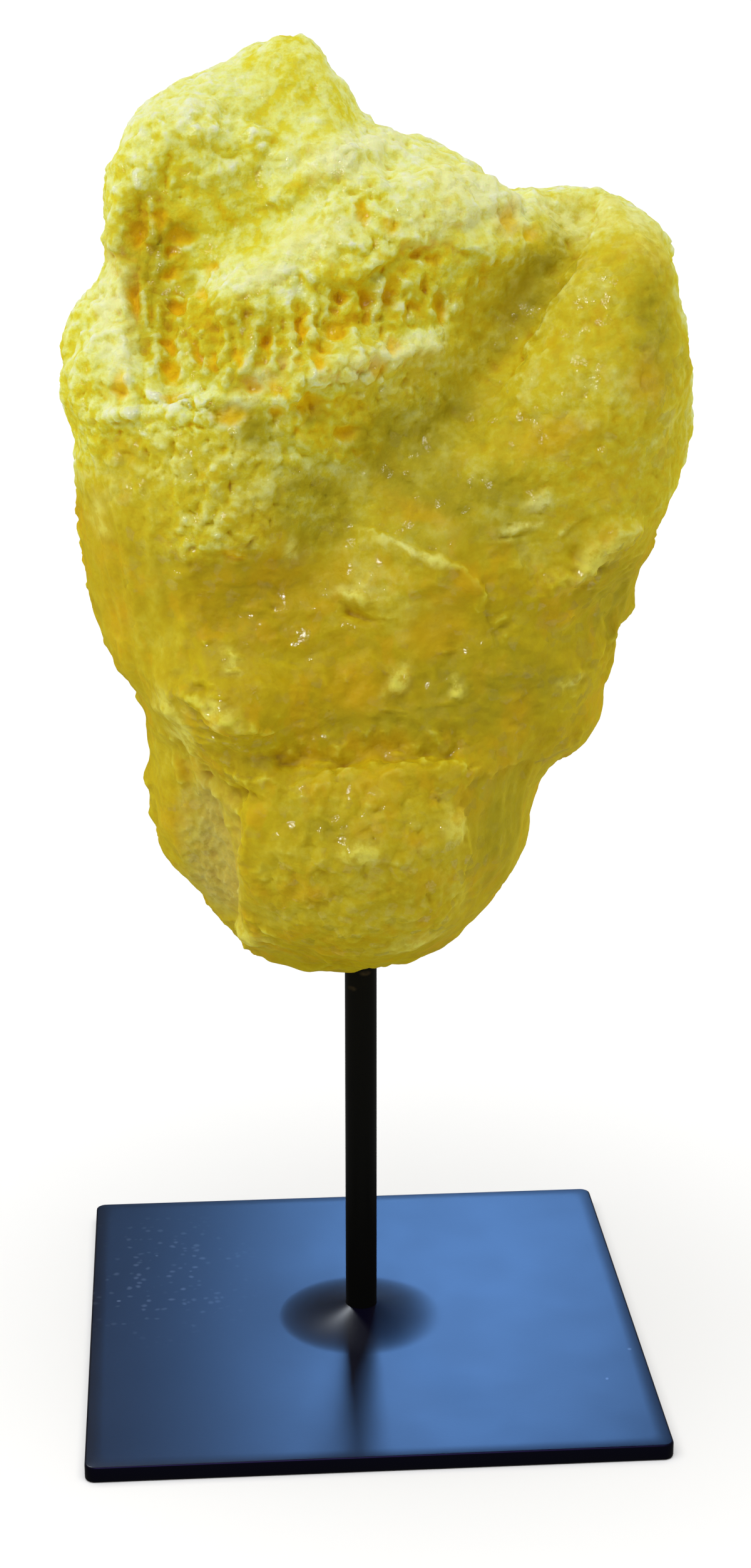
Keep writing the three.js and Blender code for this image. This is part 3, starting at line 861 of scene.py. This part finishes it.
def sulfur_colour(m, waxed, mid, fine):
    """Pale crust and golden wax with amber veins, with light painted in: highlights on peaks and
    up-facing crust, shade and an orange glow in hollows, clefts and pits, and olive painted shade.
    """
    hollow, peak, ribbed = m.attribute("hollow"), m.attribute("peak"), m.attribute("ribbed")
    crusted = m.attribute("crusted")
    mottled = m.noise(85, 3)
    lively = m.ramp(waxed, 0.0, 1.0, 1.0, 0.6)
    # tone: painted highlights on peaks and up-facing crust, painted shade in hollows, pits and columns
    tone = m.sum((0.44, 1), (peak, 0.36), (hollow, -0.55), (ribbed, -0.15),
                 (m.product(m.attribute("upward"), crusted), 0.26),
                 (m.product(m.ramp(fine, 0.3, 0.7, -1, 1), lively), 0.15),
                 (m.product(m.ramp(mid, 0.3, 0.7, -1, 1), lively), 0.11),
                 (m.ramp(mottled, 0.3, 0.7, -1, 1), 0.09))
    colour = m.mix(waxed, m.tones(tone, CRUST_TONES), m.tones(tone, WAX_TONES))
    veined = m.ramp(m.noise(140, 3, stretch=(1, 1, 0.7)), 0.52, 0.66, 0.0, 0.55)
    colour = m.mix(m.product(veined, waxed), colour, AMBER_WAX_AND_GLOW)
    # painted shade: olive over the shade ovals and, more faintly, over the pits and columns
    shaded = m.product(m.attribute("shade"), m.ramp(mid, 0.35, 0.6, 0.9, 0.5))
    colour = m.mix(m.math("MAXIMUM", shaded, m.product(ribbed, 0.16)), colour, PAINTED_SHADE_OLIVE)
    blotched = m.ramp(mottled, 0.35, 0.6, 0.12, 0.6)
    # amber ovals: the wax's own patches and a painted glow in clefts
    colour = m.mix(m.product(m.attribute("amber"), blotched), colour, AMBER_WAX_AND_GLOW)
    # pale ovals: painted highlights, partly the crust's own paleness
    broken = m.ramp(m.noise(260, 4, roughness=0.65), 0.38, 0.58, 0.2, 0.8)
    colour = m.mix(m.product(m.attribute("pale"), broken), colour, m.mix(crusted, PAINTED_WAX_HIGHLIGHT, PALE_CRUST_AND_HIGHLIGHT))
    colour = m.mix(m.product(m.attribute("fibrous"), 0.7), colour, BUFF)
    # painted glow: orange in the pits
    return m.mix(m.attribute("deep"), colour, PAINTED_PIT_GLOW)


def sulfur_material():
    m = Nodes("native_sulfur")
    m.fix({"Specular IOR Level": 0.12, "Coat Roughness": 0.16, "Subsurface Weight": 0.45,
           "Subsurface Radius": (1.0, 0.8, 0.25), "Subsurface Scale": 3.0 * MM})
    waxed = m.attribute("waxed")
    mid, fine = m.noise(150, 4), m.noise(420, 4, roughness=0.6)
    m.set(m.shader, "Base Color", sulfur_colour(m, waxed, mid, fine))
    dull = m.ramp(waxed, 0.0, 1.0, 0.78, 0.58)
    m.set(m.shader, "Roughness", m.math("ADD", dull, m.ramp(fine, 0.2, 0.8, -0.05, 0.1)))
    # small glassy faces, each tipped its own way
    flecks = m.add("ShaderNodeTexVoronoi", {"Vector": m.bent_place(300, 0.6 * MM), "Scale": 430.0})
    glassy = m.ramp(flecks.outputs["Color"], 0.68, 0.72, 0.0, 0.8)
    m.set(m.shader, "Coat Weight", m.product(glassy, m.ramp(m.attribute("forward"), 0.45, 0.75)))
    grain = m.math("SUBTRACT", fine, m.product(flecks.outputs["Distance"], 0.4))
    small = m.bump(grain, 1.1 * MM, m.ramp(waxed, 0.0, 1.0, 0.8, 0.3))
    wave = m.bump(m.noise(200, 3), 1.2 * MM, 0.5, small)
    m.set(m.shader, "Normal", wave)
    m.set(m.shader, "Coat Normal", m.tilted(wave, flecks.outputs["Color"], 0.6))
    return m.material


def steel_material(name, paint, marks):
    """Satin black paint. marks(m) says where it is dusty or worn, from 0 to 1, and in what colour."""
    m = Nodes(name)
    share, colour = marks(m)
    m.set(m.shader, "Base Color", m.mix(share, paint, colour))
    m.set(m.shader, "Roughness", m.ramp(m.noise(60, 4), 0.3, 0.7, 0.30, 0.32))
    m.fix({"Specular IOR Level": 0.12})
    m.set(m.shader, "Normal", m.bump(m.noise(1400, 3), 0.05 * MM, 0.12))
    return m.material


def dust(m):
    """Pale specks, thickest on the plate's far left."""
    small = m.add("ShaderNodeTexVoronoi", {"Vector": m.bent_place(200, 1 * MM), "Scale": 400.0})
    large = m.add("ShaderNodeTexVoronoi", {"Vector": m.bent_place(90, 2 * MM), "Scale": 60.0})
    few = m.ramp(large.outputs["Distance"], 0.02, 0.045, 0.8, 0)
    thick = m.product(m.near((-54, 26, 4), (32, 44, 9)), m.ramp(small.outputs["Color"], 0.45, 0.6))
    many = m.product(thick, m.ramp(small.outputs["Distance"], 0.10, 0.42, 0.45, 0))
    return m.math("MAXIMUM", few, many), DUST


def worn(m):
    """Two scuffs on the front of the rod, just under the specimen."""
    scuffs = m.math("MAXIMUM", m.near((0.9, -4, 100.4), (2.0, 3, 0.9)),
                    m.near((-2.6, -4, 96.2), (1.6, 3, 0.9)))
    return m.product(scuffs, m.ramp(m.noise(900, 3), 0.3, 0.6, 0.4, 1)), BARE_STEEL


def floor_material():
    m = Nodes("studio_floor")
    m.fix({"Base Color": (FLOOR_GREY, FLOOR_GREY, FLOOR_GREY, 1), "Roughness": 0.9,
           "Specular IOR Level": 0.0})
    return m.material


# Studio

def aim(obj, place, target):
    obj.location = place
    obj.rotation_mode = "QUATERNION"
    obj.rotation_quaternion = (Vector(target) - Vector(place)).to_track_quat("-Z", "Y")


def add_light(name, kind, place, target, strength, pieces):
    """A light that shines only on the given pieces."""
    light = add_object(name, bpy.data.lights.new(name, kind))
    light.data.energy = strength
    aim(light, place, target)
    receivers = bpy.data.collections.new("lit_by_" + name)
    for piece in pieces:
        receivers.objects.link(piece)
    light.light_linking.receiver_collection = receivers
    return light


def add_sun(name, place, strength, spread, pieces):
    sun = add_light(name, "SUN", place, (0, 0, 0), strength, pieces)
    sun.data.angle = math.radians(spread)
    return sun


def add_lamp(lamp, pieces):
    name, place, target, strength, colour, width, height, kinds = lamp
    light = add_light(name, "AREA", place, target, strength, pieces)
    light.data.color = colour
    light.data.shape = "RECTANGLE"
    light.data.size, light.data.size_y = width, height
    light.visible_camera = False
    light.visible_diffuse = "diffuse" in kinds
    light.visible_glossy = "glossy" in kinds


def make_camera():
    camera = add_object("camera", bpy.data.cameras.new("camera"))
    camera.data.lens = CAMERA_LENS_MM
    aim(camera, CAMERA_PLACE, CAMERA_TARGET)
    bpy.context.scene.camera = camera


def make_floor():
    """A pale floor that takes shadows, but neither lights the object nor shows in it."""
    bm = bmesh.new()
    bmesh.ops.create_grid(bm, x_segments=1, y_segments=1, size=FLOOR_SIZE / 2)
    mesh = bpy.data.meshes.new("floor")
    bm.to_mesh(mesh)
    bm.free()
    floor = add_object("floor", mesh)
    floor.location.z = -0.02 * MM
    floor.data.materials.append(floor_material())
    floor.visible_diffuse = False
    floor.visible_glossy = False
    floor.visible_shadow = False
    return floor


def make_studio(rock, plate, rod):
    make_camera()
    floor = make_floor()
    world = bpy.data.worlds.new("studio")
    world.use_nodes = True
    background = world.node_tree.nodes["Background"]
    background.inputs["Color"].default_value = (1, 1, 1, 1)
    background.inputs["Strength"].default_value = WORLD_STRENGTH
    bpy.context.scene.world = world
    for name, place, strength, spread, shines in SOFT_LIGHTS:
        add_sun(name, place, strength, spread, [rock]).visible_glossy = shines
    add_sun(*FLOOR_LIGHT, [floor])
    for lamps, pieces in ((SPECIMEN_LAMPS, [rock]), (STAND_LAMPS, [plate, rod]), (PLATE_LAMPS, [plate])):
        for lamp in lamps:
            add_lamp(lamp, pieces)
    bpy.context.scene.view_settings.view_transform = "Standard"


def main():
    rock = make_specimen()
    rock.data.materials.append(sulfur_material())
    plate = make_plate()
    rod = make_rod()
    plate.data.materials.append(steel_material("satin_black_plate", PLATE_PAINT, dust))
    rod.data.materials.append(steel_material("satin_black_rod", ROD_PAINT, worn))
    for piece, node, slot in ((rock, "sulfur_specimen", "sulfur"), (plate, "base_plate", "black_steel"),
                              (rod, "support_rod", "black_steel")):
        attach(piece, "root")
        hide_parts(node)
    make_studio(rock, plate, rod)


main()
